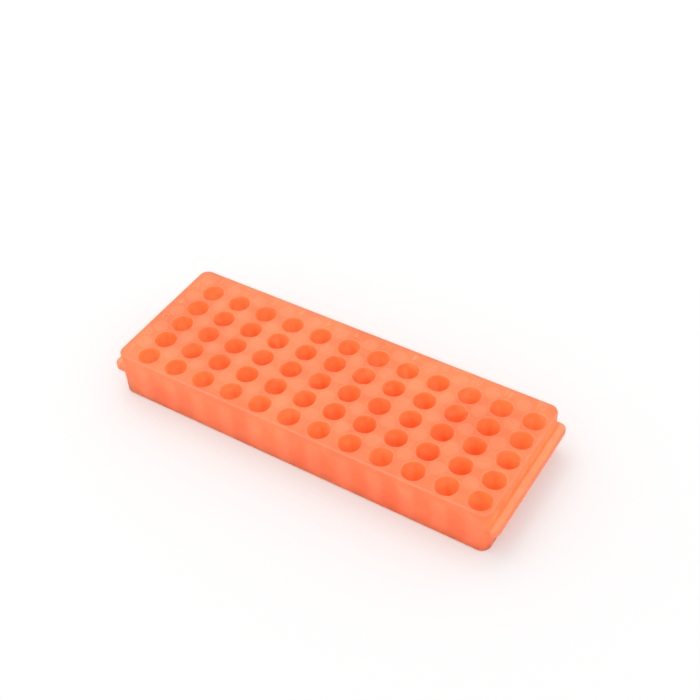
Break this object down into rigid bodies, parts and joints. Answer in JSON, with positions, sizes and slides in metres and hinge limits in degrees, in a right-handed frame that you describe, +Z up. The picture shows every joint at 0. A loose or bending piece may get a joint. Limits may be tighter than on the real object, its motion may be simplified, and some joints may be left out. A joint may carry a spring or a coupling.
{
  "type": "microcentrifuge tube rack",
  "caption": "Reversible bench rack for microcentrifuge tubes: a one-piece moulded block with wide wells on one face, narrow wells on the other and a finger ledge at each end.",
  "frame": {"origin": "middle of the base, on the surface that the rack stands on", "axes": "+X along the rack towards the last column, +Y towards the first row, +Z up out of the wide wells"},
  "size_m": [0.213, 0.073, 0.0254],
  "materials": {
    "rack_plastic": "satin"
  },
  "bodies": {
    "root": {"tube_rack": "rack_plastic"}
  },
  "joints": []
}
